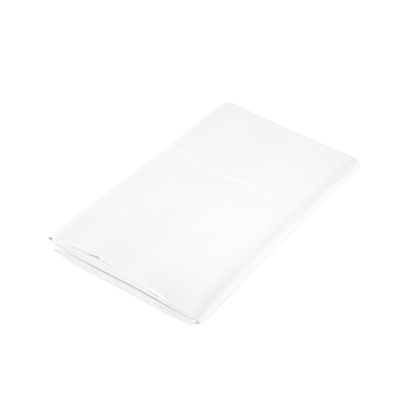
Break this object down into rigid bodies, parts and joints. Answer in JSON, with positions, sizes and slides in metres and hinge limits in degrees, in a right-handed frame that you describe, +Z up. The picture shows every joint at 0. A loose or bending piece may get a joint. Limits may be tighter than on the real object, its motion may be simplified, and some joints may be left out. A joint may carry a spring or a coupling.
{
  "type": "folded flat sheet",
  "caption": "Woven cotton flat bed sheet folded into a flat rectangular packet, with nested layers showing at the ends, a rounded spine and a stitched top hem.",
  "frame": {"origin": "centre of the packet's bounding box, on the surface it lies on", "axes": "+X towards the rounded spine, +Y along the packet towards the end that holds the top hem, +Z up"},
  "size_m": [0.2082, 0.3344, 0.0294],
  "materials": {
    "cotton": "matte plain weave, bleached white"
  },
  "bodies": {
    "root": {"sheet": "cotton"}
  },
  "joints": []
}
